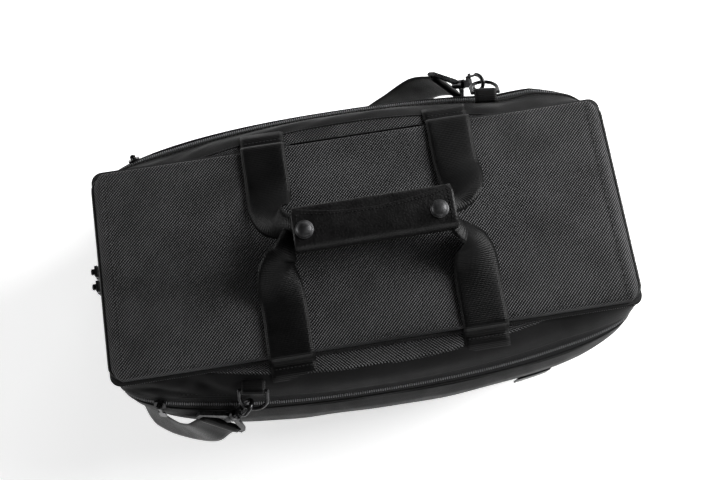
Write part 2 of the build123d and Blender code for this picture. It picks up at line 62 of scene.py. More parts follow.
# ------------------------------------------------------------------ materials
class Nodes:
    """A material under construction, with short calls for the nodes it needs."""

    def __init__(self, name, rough=0.6, metallic=0.0, specular=0.3, sheen=0.0, coat=0.0):
        self.mat = bpy.data.materials.new(name)
        self.mat.use_nodes = True
        self.tree = self.mat.node_tree
        self.bsdf = self.tree.nodes["Principled BSDF"]
        self.bsdf.inputs["Roughness"].default_value = rough
        self.bsdf.inputs["Metallic"].default_value = metallic
        self.bsdf.inputs["Specular IOR Level"].default_value = specular
        self.bsdf.inputs["Sheen Weight"].default_value = sheen
        self.bsdf.inputs["Sheen Roughness"].default_value = 0.5
        self.bsdf.inputs["Coat Weight"].default_value = coat
        self.bsdf.inputs["Coat Roughness"].default_value = 0.15

    def add(self, kind, **inputs):
        node = self.tree.nodes.new(kind)
        for key, value in inputs.items():
            node.inputs[key.replace("_", " ")].default_value = value
        return node

    def link(self, a, b):
        self.tree.links.new(a, b)

    def math(self, op, a, b=0.0):
        node = self.tree.nodes.new("ShaderNodeMath")
        node.operation = op
        for i, value in enumerate((a, b)):
            if isinstance(value, (int, float)):
                node.inputs[i].default_value = value
            else:
                self.link(value, node.inputs[i])
        return node.outputs[0]

    def uv(self):
        coords = self.tree.nodes.new("ShaderNodeUVMap")
        split = self.tree.nodes.new("ShaderNodeSeparateXYZ")
        self.link(coords.outputs[0], split.inputs[0])
        return split.outputs[0], split.outputs[1]

    def place(self):
        return self.tree.nodes.new("ShaderNodeTexCoord").outputs["Object"]

    def noise(self, scale, detail=3.0, vector=None):
        node = self.add("ShaderNodeTexNoise", Scale=scale, Detail=detail)
        self.link(vector or self.place(), node.inputs["Vector"])
        return node.outputs["Fac"]

    def wave(self, value, pitch, phase=0.0):
        turned = self.math("MULTIPLY", value, 2 * math.pi / pitch)
        return self.math("SINE", self.math("ADD", turned, phase))

    def ramp(self, value, low, high, dark, light, slot="Base Color"):
        node = self.tree.nodes.new("ShaderNodeMapRange")
        node.inputs["From Min"].default_value = low
        node.inputs["From Max"].default_value = high
        self.link(value, node.inputs["Value"])
        if slot == "Roughness":
            node.inputs["To Min"].default_value = dark
            node.inputs["To Max"].default_value = light
            self.link(node.outputs["Result"], self.bsdf.inputs["Roughness"])
            return
        mix = self.tree.nodes.new("ShaderNodeMix")
        mix.data_type = "RGBA"
        mix.inputs["A"].default_value = (*dark, 1)
        mix.inputs["B"].default_value = (*light, 1)
        self.link(node.outputs["Result"], mix.inputs["Factor"])
        self.link(mix.outputs["Result"], self.bsdf.inputs["Base Color"])

    def bump(self, height, distance, strength=1.0):
        node = self.add("ShaderNodeBump", Strength=strength, Distance=distance)
        self.link(height, node.inputs["Height"])
        self.link(node.outputs[0], self.bsdf.inputs["Normal"])


def grey(value, warm=1.0):
    """A near-neutral dark colour."""
    return (value * warm, value, value * 1.03)


def ballistic_nylon(name):
    """Coarse twill: diagonal ribs broken up by the crossing yarns, with painted highlight on the rib crests."""
    n = Nodes(name, rough=0.5, specular=0.16, sheen=0.0)
    u, v = n.uv()
    rise = n.math("SUBTRACT", u, v)
    cross = n.math("ADD", u, v)
    ribs = n.wave(rise, 0.0027)
    yarns = n.wave(cross, 0.0027)
    broken = n.math("MULTIPLY", n.math("ADD", ribs, 1.0), n.math("ADD", n.math("MULTIPLY", yarns, 0.22), 0.78))
    twill_and_painted_highlight = n.math("MULTIPLY", broken, n.math("ADD", n.noise(26.0, 4.0), 0.45))
    # Partly the twill's own pattern, partly painted highlight: the rib crests are coloured far lighter than the black
    # yarn.
    n.ramp(twill_and_painted_highlight, 0.62, 1.5, grey(0.0008), grey(0.1))
    n.ramp(n.noise(40.0), 0.3, 0.7, 0.5, 0.64, "Roughness")
    n.bump(broken, 0.00045, 0.8)
    return n.mat


def padded_cloth(name):
    """Smooth, fine cloth over padding."""
    n = Nodes(name, rough=0.55, specular=0.12, sheen=0.02)
    u, v = n.uv()
    weave = n.math("MULTIPLY", n.wave(u, 0.0009), n.wave(v, 0.0009))
    fine = n.math("ADD", n.math("MULTIPLY", weave, 0.25), n.noise(420.0, 4.0))
    n.ramp(n.math("ADD", n.math("MULTIPLY", fine, 0.35), n.noise(18.0, 3.0)), 0.45, 1.0, grey(0.004), grey(0.009))
    n.ramp(n.noise(60.0), 0.3, 0.7, 0.56, 0.7, "Roughness")
    n.bump(fine, 0.00022, 0.5)
    return n.mat


def satin_webbing(name):
    """Webbing: fine cross ribs and lengthwise yarns."""
    n = Nodes(name, rough=0.36, specular=0.13, sheen=0.0)
    u, v = n.uv()
    ribs = n.wave(u, 0.0016)
    yarns = n.wave(v, 0.0011)
    height = n.math("ADD", n.math("MULTIPLY", ribs, 0.6), n.math("MULTIPLY", yarns, 0.4))
    tone = n.math("ADD", n.math("MULTIPLY", height, 0.2), n.noise(30.0, 4.0))
    n.ramp(tone, 0.2, 0.9, grey(0.0012), grey(0.004))
    n.ramp(n.noise(55.0), 0.3, 0.7, 0.32, 0.46, "Roughness")
    n.bump(height, 0.00018, 0.6)
    return n.mat


def leather(name):
    """Pebbled leather."""
    n = Nodes(name, rough=0.42, specular=0.16, coat=0.02)
    cells = n.add("ShaderNodeTexVoronoi", Scale=620.0)
    cells.feature = "SMOOTH_F1"
    n.link(n.place(), cells.inputs["Vector"])
    rounds = n.math("MULTIPLY", cells.outputs["Distance"], -1.0)
    pebbles = n.math("ADD", rounds, n.math("MULTIPLY", n.noise(900.0), 0.35))
    n.ramp(n.math("ADD", pebbles, n.noise(45.0, 3.0)), -0.2, 0.6, grey(0.0015, 1.04), grey(0.006, 1.04))
    n.ramp(n.noise(90.0), 0.3, 0.7, 0.38, 0.55, "Roughness")
    n.bump(pebbles, 0.00035, 0.7)
    return n.mat


def black_metal(name, tone=0.022, rough=0.24):
    """Glossy black plating, lightly scuffed."""
    n = Nodes(name, rough=rough, metallic=0.9, specular=0.4, coat=0.03)
    scuffs = n.noise(240.0, 6.0)
    n.ramp(scuffs, 0.35, 0.75, grey(tone), grey(tone * 2.6))
    n.ramp(n.noise(130.0, 5.0), 0.3, 0.75, rough - 0.06, rough + 0.14, "Roughness")
    n.bump(scuffs, 0.00005, 0.3)
    return n.mat


def woven_tape(name):
    """Zipper tape: a fine herringbone."""
    n = Nodes(name, rough=0.6, specular=0.12, sheen=0.0)
    u, v = n.uv()
    zig = n.math("ABSOLUTE", n.math("SINE", n.math("MULTIPLY", v, 900.0)))
    bone = n.wave(n.math("ADD", u, n.math("MULTIPLY", zig, 0.0012)), 0.0013)
    n.ramp(n.math("ADD", bone, n.noise(60.0)), -0.4, 1.5, grey(0.004), grey(0.02))
    n.bump(bone, 0.0002, 0.6)
    return n.mat


def plain_plastic(name, tone=0.014, rough=0.36):
    """Coil, thread and piping."""
    n = Nodes(name, rough=rough, specular=0.22)
    grain = n.noise(700.0, 3.0)
    n.ramp(grain, 0.3, 0.7, grey(tone * 0.7), grey(tone * 1.3))
    n.bump(grain, 0.00006, 0.4)
    return n.mat


def foam_block(name):
    """Charcoal open-cell foam."""
    n = Nodes(name, rough=0.92, specular=0.1)
    cells = n.noise(900.0, 5.0)
    n.ramp(n.math("ADD", cells, n.noise(35.0)), 0.7, 1.3, grey(0.018), grey(0.05))
    n.bump(cells, 0.0007, 0.8)
    return n.mat


NYLON = ballistic_nylon("ballistic_nylon")
CLOTH = padded_cloth("padded_cloth")
WEBBING = satin_webbing("satin_webbing")
LEATHER = leather("pebbled_leather")
METAL = black_metal("black_plating")
SNAP_METAL = black_metal("gunmetal_plating", 0.03, 0.46)
ZIP_TAPE = woven_tape("zip_tape")
# Zipper coil: coloured much lighter than the bag's black so the teeth read lit in the shade under the lid's edge;
# painted light.
COIL_PAINTED_LIGHT = plain_plastic("zip_coil_painted_light", 0.14)
THREAD = plain_plastic("thread", 0.02, 0.5)
PIPING = plain_plastic("piping_cloth", 0.004, 0.5)
HOLES = plain_plastic("sunk_thread", 0.0015, 0.7)
FOAM = foam_block("foam")


# ------------------------------------------------------------------ mesh tools
def make_object(name, verts, faces, mat, uvs=None, smooth=True):
    """A mesh object from points in millimetres."""
    mesh = bpy.data.meshes.new(name)
    mesh.from_pydata([Vector(v) * MM for v in verts], [], faces)
    mesh.materials.append(mat)
    if uvs:
        layer = mesh.uv_layers.new(name="UVMap")
        for loop in mesh.loops:
            a, b = uvs[loop.vertex_index]
            layer.data[loop.index].uv = (a * MM, b * MM)
    for face in mesh.polygons:
        face.use_smooth = smooth
    mesh.validate()
    obj = bpy.data.objects.new(name, mesh)
    bpy.context.scene.collection.objects.link(obj)
    return obj


def attach(obj, body, replaces=()):
    """Ride on a body and the CAD nodes it stands for."""
    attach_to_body(obj, body)
    if replaces:
        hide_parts(*replaces)
    return obj


def running(points):
    """Distances along a row of points."""
    total = [0.0]
    for a, b in zip(points, points[1:]):
        total.append(total[-1] + (Vector(b) - Vector(a)).length)
    return total


def grid(name, rows, mat, thick=0.0, close_u=False, uv_origin=(0.0, 0.0)):
    """A surface through rows of points, made into a shell when it has a thickness."""
    nv = len(rows)
    nu = len(rows[0])
    middle = running(rows[nv // 2])
    side = running([row[nu // 2] for row in rows])
    verts = []
    uvs = []
    for j, row in enumerate(rows):
        for i, point in enumerate(row):
            verts.append(point)
            uvs.append((middle[i] + uv_origin[0], side[j] + uv_origin[1]))
    faces = []
    last = nu if close_u else nu - 1
    for j in range(nv - 1):
        for i in range(last):
            k = (i + 1) % nu
            faces.append((j * nu + i, j * nu + k, (j + 1) * nu + k, (j + 1) * nu + i))
    obj = make_object(name, verts, faces, mat, uvs)
    if thick:
        shell = obj.modifiers.new("shell", "SOLIDIFY")
        shell.thickness = thick * MM
        shell.offset = -1.0
    return obj


def smooth_rows(rows, per=6):
    """Catmull-Rom through rows of equal-length tuples of numbers."""
    out = []
    for i in range(len(rows) - 1):
        p0 = rows[max(0, i - 1)]
        p1 = rows[i]
        p2 = rows[i + 1]
        p3 = rows[min(len(rows) - 1, i + 2)]
        for k in range(per):
            t = k / per
            out.append(tuple(0.5 * (2 * b + (c - a) * t + (2 * a - 5 * b + 4 * c - d) * t * t
                                    + (3 * b - a - 3 * c + d) * t ** 3)
                             for a, b, c, d in zip(p0, p1, p2, p3)))
    out.append(tuple(rows[-1]))
    return out


def tube(name, points, radius, mat, sides=10, closed=False):
    """A round cord through points."""
    verts = []
    faces = []
    count = len(points)
    up = Vector((0, 0, 1))
    for i, point in enumerate(points):
        a = Vector(points[(i - 1) % count] if closed or i else points[0])
        b = Vector(points[(i + 1) % count] if closed or i < count - 1 else points[-1])
        travel = (b - a).normalized()
        side = travel.cross(up)
        if side.length < 0.05:
            side = travel.cross(Vector((1, 0, 0)))
        side.normalize()
        other = travel.cross(side)
        for k in range(sides):
            angle = 2 * math.pi * k / sides
            verts.append(Vector(point) + side * (radius * math.cos(angle)) + other * (radius * math.sin(angle)))
    last = count if closed else count - 1
    for i in range(last):
        j = (i + 1) % count
        for k in range(sides):
            m = (k + 1) % sides
            faces.append((i * sides + k, i * sides + m, j * sides + m, j * sides + k))
    if not closed:
        faces.append(tuple(reversed(range(sides))))
        faces.append(tuple((count - 1) * sides + k for k in range(sides)))
    return make_object(name, verts, faces, mat)


def resample(points, pitch):
    """Points and directions every pitch along a row of points."""
    dist = running(points)
    out = []
    i = 0
    s = pitch / 2
    while s < dist[-1]:
        while dist[i + 1] < s:
            i += 1
        a = Vector(points[i])
        b = Vector(points[i + 1])
        t = (s - dist[i]) / max(1e-6, dist[i + 1] - dist[i])
        out.append((a.lerp(b, t), (b - a).normalized()))
        s += pitch
    return out


def beads(name, points, normal, pitch, size, mat):
    """Small rounded lozenges in a row: stitches or zipper teeth. size is along, across, high."""
    verts = []
    faces = []
    ring = [(-1, 0), (-0.6, 0.7), (0, 1), (0.6, 0.7), (1, 0), (0.6, -0.7), (0, -1), (-0.6, -0.7)]
    for centre, travel in resample(points, pitch):
        up = Vector(normal).normalized()
        side = travel.cross(up).normalized()
        up = side.cross(travel).normalized()
        base = len(verts)
        for scale, lift in ((1.0, 0.0), (0.82, 0.7), (0.4, 1.0)):
            for a, b in ring:
                verts.append(centre + travel * (a * size[0] / 2 * scale) + side * (b * size[1] / 2 * scale)
                             + up * (lift * size[2]))
        for level in range(2):
            for i in range(8):
                j = (i + 1) % 8
                lo = base + level * 8
                faces.append((lo + i, lo + j, lo + 8 + j, lo + 8 + i))
        faces.append(tuple(base + 16 + i for i in range(8)))
        faces.append(tuple(base + i for i in reversed(range(8))))
    return make_object(name, verts, faces, mat)


def lathe(name, profile, centre, axis, mat, sides=40):
    """A turned shape from (radius, height) pairs."""
    frame_z = Vector(axis).normalized()
    frame_x = frame_z.orthogonal().normalized()
    frame_y = frame_z.cross(frame_x)
    verts = []
    faces = []
    for radius, height in profile:
        for k in range(sides):
            angle = 2 * math.pi * k / sides
            verts.append(Vector(centre) + frame_x * (radius * math.cos(angle)) + frame_y * (radius * math.sin(angle))
                         + frame_z * height)
    for j in range(len(profile) - 1):
        for k in range(sides):
            m = (k + 1) % sides
            faces.append((j * sides + k, j * sides + m, (j + 1) * sides + m, (j + 1) * sides + k))
    faces.append(tuple(reversed(range(sides))))
    faces.append(tuple((len(profile) - 1) * sides + k for k in range(sides)))
    return make_object(name, verts, faces, mat)


def ribbon(name, rows, mat, thick=1.6, per=8, across=10):
    """Webbing through rows of (x, y, z, side x, side y, side z, width, cup)."""
    path = smooth_rows(rows, per)
    centres = [Vector(row[:3]) for row in path]
    dist = running(centres)
    verts = []
    uvs = []
    faces = []
    for i, row in enumerate(path):
        a = centres[max(0, i - 1)]
        b = centres[min(len(path) - 1, i + 1)]
        travel = (b - a).normalized()
        side = Vector(row[3:6])
        side = (side - travel * side.dot(travel)).normalized()
        normal = travel.cross(side)
        width, cup = row[6], row[7]
        loop = []
        for top in (1, -1):
            order = range(across + 1) if top == 1 else range(across, -1, -1)
            for j in order:
                f = 2.0 * j / across - 1.0
                edge = 0.3 if abs(f) > 0.99 else 1.0
                if abs(cup) > 0.02:
                    radius = width / cup
                    angle = f * cup / 2
                    lateral = side * (radius * math.sin(angle))
                    raised = normal * (radius * (math.cos(angle) - math.cos(cup / 4)))
                    face = (normal * math.cos(angle) + side * math.sin(angle))
                else:
                    lateral = side * (f * width / 2)
                    raised = Vector((0, 0, 0))
                    face = normal
                loop.append((centres[i] + lateral + raised + face * (top * edge * thick / 2), f * width / 2))
        for point, v in loop:
            verts.append(point)
            uvs.append((dist[i], v))
    n = 2 * (across + 1)
    for i in range(len(path) - 1):
        for j in range(n):
            k = (j + 1) % n
            faces.append((i * n + j, i * n + k, (i + 1) * n + k, (i + 1) * n + j))
    faces.append(tuple(reversed(range(n))))
    faces.append(tuple((len(path) - 1) * n + j for j in range(n)))
    return make_object(name, verts, faces, mat, uvs)


def wrinkle(x, y, z, size, amount):
    """Seeded, smooth unevenness."""
    return noise.noise(Vector((x / size, y / size, z / size))) * amount


# ------------------------------------------------------------------ shape of the case
def bow(x):
    return BOW * max(0.0, 1.0 - (x / BOW_X) ** 2)


def plump(s):
    return math.sqrt(max(0.0, 1.0 - abs(s) ** 2.3))


def pocket_out(x, depth):
    """How far the pocket's skin stands out at x, for a level whose middle stands out to depth."""
    top = LID_Y + 0.4 + bow(x)
    mix = min(1.0, max(0.0, (depth - 106.6) / (128.0 - 106.6)))
    full = LID_Y + 0.4 + (max(depth, 128.0) - LID_Y) * plump(x / POCKET_X)
    return top + mix * (full - top)


def lid_cover():
    """The lid's padded top: flat in the middle, rolled down at both ends, crisp along both long edges."""
    along = []
    for i in range(9):
        a = math.radians(90.0 * i / 8)
        along.append((-LID_X - (ROLL + 1.2) * math.cos(a), math.sin(a)))
    along += [(-LID_X + 418.0 * i / 90, 1.0) for i in range(1, 90)]
    for i in range(9):
        a = math.radians(90.0 - 90.0 * i / 8)
        along.append((LID_X + (ROLL + 1.2) * math.cos(a), math.sin(a)))
    across = []
    for i in range(6):
        a = math.radians(90.0 * i / 5)
        across.append((-LID_Y - 1.9 + 2.6 * (1 - math.cos(a)), math.sin(a)))
    across += [(-LID_Y + 0.7 + 174.6 * i / 44, 1.0) for i in range(1, 44)]
    across += [(-y, h) for y, h in reversed(across[:6])]
    rows = []
    for y, b in across:
        row = []
        for x, a in along:
            crease = 0.9 * math.exp(-((abs(x) - LID_X) / 1.4) ** 2)
            crown = 1.3 * (1 - (x / 225.0) ** 2) * (1 - (y / 90.0) ** 2)
            sag = wrinkle(x, y, 0, 75.0, 0.9) * a * b
            corner = max(0.0, abs(x) - 212.0) * max(0.0, abs(y) - 79.0) * 0.042
            z = LID_Z + (TOP_Z - 0.6 - LID_Z) * a * b + (crown + sag) * a * b - crease
            row.append((x - math.copysign(corner, x), y - math.copysign(corner, y), z))
        rows.append(row)
    cover = grid("lid_cover", rows, NYLON, 2.0)
    attach(cover, "lid", ("lid_panel", "lid_left_roll", "lid_right_roll", "lid_edge_bands"))
    rim_x, rim_y = LID_X + ROLL - 0.6, LID_Y + 1.4
    rows = []
    for j in range(37):
        y = -rim_y + 2 * rim_y * j / 36
        row = []
        for i in range(81):
            x = -rim_x + 2 * rim_x * i / 80
            corner = max(0.0, abs(x) - 209.0) * max(0.0, abs(y) - 78.0) * 0.055
            z = LID_Z + 0.6 + 0.5 * abs(wrinkle(x, y, 4, 30.0, 1.0))
            row.append((x - math.copysign(corner, x), y - math.copysign(corner, y), z))
        rows.append(row)
    lining = grid("lid_lining", rows, CLOTH, 0.8)
    attach(lining, "lid")
    for sign, name in ((-1, "front"), (1, "rear")):
        pts = [(-208.0 + 416.0 * i / 120, sign * (LID_Y - 2.4), TOP_Z - 0.5) for i in range(121)]
        attach(beads(f"lid_{name}_edge_stitches", pts, (0, 0, 1), 3.4, (2.1, 0.9, 0.45), THREAD), "lid")
    for sign in (-1, 1):
        x = sign * (LID_X - 0.2)
        pts = []
        for i in range(61):
            y = -LID_Y + 2 + 172.0 * i / 60
            pts.append((x, y, TOP_Z - 0.75 + 1.3 * 0.13 * (1 - (y / 90.0) ** 2)))
        name = "right" if sign > 0 else "left"
        attach(beads(f"lid_{name}_crease_stitches", pts, (0, 0, 1), 4.2, (2.8, 0.7, 0.4), THREAD), "lid")


def ring_path(side_y, side_x, corner, z, gap=None):
    """Points round the lid's edge, left open at the back between the webbings where gap is given."""
    points = []
    x0, x1 = gap if gap else (0.0, 0.0)
    points += [(x1 + (side_x - corner - x1) * i / 20, side_y, z) for i in range(21)]
    centres = ((side_x - corner, side_y - corner, 90), (side_x - corner, corner - side_y, 0),
               (corner - side_x, corner - side_y, -90), (corner - side_x, side_y - corner, -180))
    for index, (cx, cy, start) in enumerate(centres):
        for i in range(1, 9):
            a = math.radians(start - 90.0 * i / 8)
            points.append((cx + corner * math.cos(a), cy + corner * math.sin(a), z))
        if index == 0:
            points += [(side_x, side_y - corner - (2 * side_y - 2 * corner) * i / 20, z) for i in range(1, 21)]
        if index == 1:
            points += [(side_x - corner - (2 * side_x - 2 * corner) * i / 50, -side_y, z) for i in range(1, 51)]
        if index == 2:
            points += [(-side_x, corner - side_y + (2 * side_y - 2 * corner) * i / 20, z) for i in range(1, 21)]
    points += [(corner - side_x + (x0 + side_x - corner) * i / 20, side_y, z) for i in range(1, 21)]
    return points


def lid_zipper():
    """Both halves of the lid's zipper, the piping at the ends and the cloth hinge at the back."""
    gap = (-50.0, 66.0)
    for half, z, body, node in (("upper", LID_Z + 0.1, "lid", "lid_zip_upper"),
                                ("lower", LID_Z - 0.7, "case", "lid_zip_lower")):
        path = ring_path(LID_Y + 3.4, LID_X + ROLL + 0.4, 9.0, z, gap)
        sign = 1.0 if half == "upper" else -1.0
        teeth = beads(f"lid_teeth_{half}", path, (0, 0, sign), 1.9, (1.25, 3.0, 1.3), COIL_PAINTED_LIGHT)
        attach(teeth, body)
        base = 0.5 if half == "upper" else -1.5
        rows = []
        for step, lift in ((4.7, 0.2), (2.4, 0.9), (0.2, 1.0), (-3.2, 0.9)) if half == "upper" else (
                (4.6, 0.35), (2.4, -0.1), (0.2, -0.3), (-4.0, -0.35)):
            level = z + base + lift * sign * 0.5 + 0.1
            rows.append(ring_path(LID_Y + step, LID_X + ROLL - 3.0 + step, 9.0, level, gap))
        tape = grid(f"lid_tape_{half}", rows, ZIP_TAPE, 0.5)
        attach(tape, body, (node,))
    for sign, name in ((-1, "left"), (1, "right")):
        x = sign * (LID_X + ROLL + 0.6)
        pts = []
        for i in range(61):
            y = -LID_Y + 1 + 174.0 * i / 60
            inward = sign * 0.075 * max(0.0, abs(y) - 76.5) ** 2
            pts.append((x - inward, y, LID_Z + 3.2 + wrinkle(x, y, 0, 30.0, 0.3)))
        cord = tube(f"lid_piping_{name}", pts, 1.7, PIPING)
        attach(cord, "lid", ("lid_piping",))
    rows = []
    for k in range(9):
        z = RIM_Z + 0.2 + 9.0 * k / 8
        y = LID_Y + 2.2 + 1.5 * math.sin(math.pi * k / 8)
        rows.append([(-49.0 + 114.0 * i / 40, y + wrinkle(i * 4, k * 3, 0, 12.0, 0.25), z) for i in range(41)])
    hinge = grid("hinge_cloth", rows, CLOTH, 0.8)
    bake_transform(hinge)
    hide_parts("lid_hinge_strip")


def body_shell():
    """The soft box: outside, rolled rim and inner lining in one lofted shell."""
    outline = []
    steps = 70
    for i in range(steps + 1):
        x = -210.0 + 420.0 * i / steps
        outline.append((x, -85.4, 0.0))
    for i in range(1, 8):
        a = math.radians(-90.0 + 90.0 * i / 8)
        outline.append((210.0 + 12.0 * math.cos(a), -73.4 + 12.0 * math.sin(a), 0.0))
    for i in range(29):
        y = -73.4 + 146.8 * i / 28
        outline.append((222.0, y, 1.0 - (y / 73.4) ** 2))
    for i in range(1, 8):
        a = math.radians(90.0 * i / 8)
        outline.append((210.0 + 12.0 * math.cos(a), 73.4 + 12.0 * math.sin(a), 0.0))
    for i in range(steps + 1):
        x = 210.0 - 420.0 * i / steps
        outline.append((x, 85.4, 0.0))
    for i in range(1, 8):
        a = math.radians(90.0 + 90.0 * i / 8)
        outline.append((-210.0 + 12.0 * math.cos(a), 73.4 + 12.0 * math.sin(a), 0.0))
    for i in range(29):
        y = 73.4 - 146.8 * i / 28
        outline.append((-222.0, y, 1.0 - (y / 73.4) ** 2))
    for i in range(1, 8):
        a = math.radians(180.0 + 90.0 * i / 8)
        outline.append((-210.0 + 12.0 * math.cos(a), -73.4 + 12.0 * math.sin(a), 0.0))
    count = len(outline)
    normals = []
    for i in range(count):
        a = Vector(outline[i - 1][:2])
        b = Vector(outline[(i + 1) % count][:2])
        d = (b - a).normalized()
        normals.append(Vector((d.y, -d.x)))
    levels = [(5.0, -1.6, 0.0), (6.5, -0.4, 0.0), (9.0, 0.0, 0.1)]
    levels += [(9.0 + 170.0 * k / 24, 0.0, math.sin(math.pi * k / 24) ** 0.7) for k in range(1, 24)]
    levels += [(181.0, 0.0, 0.05), (185.0, -0.2, 0.0), (187.0, -0.9, 0.0), (187.6, -2.2, 0.0), (187.5, -4.6, 0.0),
               (186.4, -5.4, 0.0), (180.0, -5.5, 0.0), (120.0, -5.5, 0.0), (60.0, -5.5, 0.0), (7.0, -5.5, 0.0)]
    rows = []
    for z, out, fill in levels:
        row = []
        for i in range(count + 1):
            x, y, pillow = outline[i % count]
            n = normals[i % count]
            r = out + 2.4 * fill * pillow
            if fill and pillow:
                r += wrinkle(x, y, z, 45.0, 0.9) * fill
            row.append((x + n.x * r, y + n.y * r, z))
        rows.append(row)
    shell = grid("body_shell", rows, NYLON)
    attach(shell, "case", ("front_wall", "back_wall", "left_end_wall", "right_end_wall"))
    for name, node, side in (("front", "front_shoulder", -1), ("rear", "back_shoulder", 1)):
        rows = []
        for j in range(13):
            f = j / 12
            row = []
            for i in range(97):
                x = -168.0 + 336.0 * i / 96
                y = 84.6 + (LID_Y + 0.9 + bow(x) - 84.6) * f
                puff = 0.9 * math.sin(math.pi * f) * bow(x) / BOW
                z = 187.9 - 0.5 * f + puff + wrinkle(x, y, 3, 24.0, 0.7) * bow(x) / BOW
                row.append((x, side * y, z))
            rows.append(row)
        rows.append([(x, y, z - 3.0) for x, y, z in rows[-1]])
        band = grid(f"{name}_shoulder_cloth", rows, NYLON, 1.4)
        attach(band, "case", (node,))
        for tag, row, lift in (("inner", rows[5], 0.15), ("outer", rows[11], 0.15)):
            pts = [(x, y, z + lift) for x, y, z in row if bow(x) > 2.5]
            seam = beads(f"{name}_shoulder_stitches_{tag}", pts, (0, 0, 1), 3.4, (2.1, 0.9, 0.45), THREAD)
            attach(seam, "case")
    rows = []
    for z, out in ((0.0, -9.0), (0.0, -4.0), (0.4, -1.8), (2.0, -0.4), (4.0, 0.1), (6.0, -0.6), (6.4, -3.0)):
        rows.append([(outline[i % count][0] + normals[i % count].x * out, outline[i % count][1]
                      + normals[i % count].y * out, z) for i in range(count + 1)])
    band = grid("base_edge", rows, PIPING)
    attach(band, "case")
    verts = [(x + n.x * -8.9, y + n.y * -8.9, 0.02) for (x, y, _), n in zip(outline, normals)]
    verts += [(x, y, 6.2) for x, y, _ in verts]
    faces = [tuple(reversed(range(count))), tuple(range(count, 2 * count))]
    faces += [(i, (i + 1) % count, count + (i + 1) % count, count + i) for i in range(count)]
    floor = make_object("base_cover", verts, faces, CLOTH, [(x, y) for x, y, _ in verts], smooth=False)
    attach(floor, "case", ("base_panel",))
    for sx, name in ((-1, "left"), (1, "right")):
        for sy, place in ((-1, "front"), (1, "rear")):
            x, y = sx * 220.6, sy * 80.6
            pts = [(x, y, 7.0 + 179.0 * i / 60) for i in range(61)]
            attach(tube(f"corner_piping_{name}_{place}", pts, 1.6, PIPING), "case")


def pocket_rows(profile, side, wrinkled, per=5, count=96):
    """Rows of points down a pocket's profile."""
    rows = []
    for depth, z in smooth_rows(profile, per):
        row = []
        for i in range(count + 1):
            a = math.radians(-90.0 + 180.0 * i / count)
            x = POCKET_X * math.sin(a)
            y = pocket_out(x, depth)
            if side > 0:
                swell = max(0.0, min(1.0, (x - 138.0) / 34.0)) * max(0.0, min(1.0, (217.0 - x) / 14.0)) ** 0.5
                y += 8.0 * swell * max(0.0, min(1.0, (depth - 106.6) / 14.0))
            fade = math.cos(a) ** 0.6 if math.cos(a) > 1e-4 else 0.0
            y += wrinkle(x, depth, z, 52.0, wrinkled) * fade
            row.append((x, side * y, z + wrinkle(x, 7, z, 60.0, wrinkled * 0.6) * fade))
        first, last = row[0], row[-1]
        row.insert(0, (first[0] - 0.6, side * 84.0, first[2]))
        row.append((last[0] + 0.6, side * 84.0, last[2]))
        rows.append(row)
    return rows


def pocket_line(depth, z, side):
    """Points along a pocket's skin at one level."""
    return pocket_rows([(depth, z), (depth, z)], side, 0.0, 1)[0][2:-2]


def pocket(name, side):
    """One padded pocket: gusset, zipper and face."""
    top = pocket_rows(GUSSET, side, 0.0)
    gusset_rows = []
    for j, row in enumerate(top):
        f = j / (len(top) - 1)
        new = []
        for x, y, z in row:
            loose = max(0.0, min(1.0, (-x - 95.0) / 60.0)) if side < 0 else 0.25
            puff = 1.6 * math.sin(math.pi * f) * (1 - abs(x) / 220.0)
            creases = wrinkle(x + 2.0 * z, 3, z, 24.0, 8.0) + wrinkle(x, 9, z * 2, 11.0, 2.0)
            fold = math.sin(math.pi * f) * loose * creases
            new.append((x, y + side * (puff + fold * 0.4), z + 0.6 * puff + fold * 0.7))
        gusset_rows.append(new)
    gusset = grid(f"{name}_gusset", gusset_rows, CLOTH, 1.6)
    attach(gusset, "case", (f"{name}_pocket_gusset",))
    tape_rows = pocket_rows([(119.6, 171.0), (124.6, 163.6), (129.0, 156.6)], side, 0.0, 6)
    tape = grid(f"{name}_zip_tape", tape_rows, ZIP_TAPE, 0.8)
    attach(tape, "case", (f"{name}_pocket_zip",))
    normal = (0, side * 0.62, 0.78)
    mid = [p for p in tape_rows[6][3:-3]]
    mid = [(x, y + side * 0.3, z + 0.3) for x, y, z in mid]
    attach(beads(f"{name}_zip_teeth", mid, normal, 1.9, (1.25, 3.4, 1.5), COIL_PAINTED_LIGHT), "case")
    for tag, depth, z, lift in (("upper", 120.7, 169.6, 0.5), ("lower", 127.8, 158.6, 0.5)):
        edge = [(x, y + side * lift, z0 + 0.4) for x, y, z0 in pocket_line(depth, z, side)]
        hem = tube(f"{name}_zip_hem_{tag}", edge, 1.15, CLOTH)
        attach(hem, "case")
        shift = -2.6 if tag == "upper" else 2.6
        d2 = depth + shift * (0.62 if tag == "upper" else 0.42)
        z2 = z - shift * (1.05 if tag == "upper" else 0.9)
        line = [(x, y + side * 0.9, z0 + 0.35) for x, y, z0 in pocket_line(d2, z2, side)[2:-2]]
        seam = beads(f"{name}_zip_stitches_{tag}", line, normal, 3.6, (2.5, 0.7, 0.45), THREAD)
        attach(seam, "case")
    face_rows = pocket_rows(FACE, side, 1.7)
    last = face_rows[-1]
    for f, z in ((0.06, 9.6), (0.2, 8.2), (0.5, 7.6), (1.0, 7.4)):
        face_rows.append([(x, y + (side * (86.0 + bow(x)) - y) * f, z) for x, y, _ in last])
    face = grid(f"{name}_face", face_rows, CLOTH, 1.4)
    attach(face, "case", (f"{name}_pocket_face", f"{name}_pocket_floor"))
    seam = [(x, y + side * 0.5, z0) for x, y, z0 in pocket_line(123.3, 17.5, side)]
    attach(tube(f"{name}_bottom_seam", seam, 1.1, PIPING), "case")
    top_seam = [(x, y - side * 0.6, z0 + 0.5) for x, y, z0 in pocket_line(*GUSSET[0], side)]
    attach(tube(f"{name}_top_seam", top_seam, 0.9, CLOTH), "case")


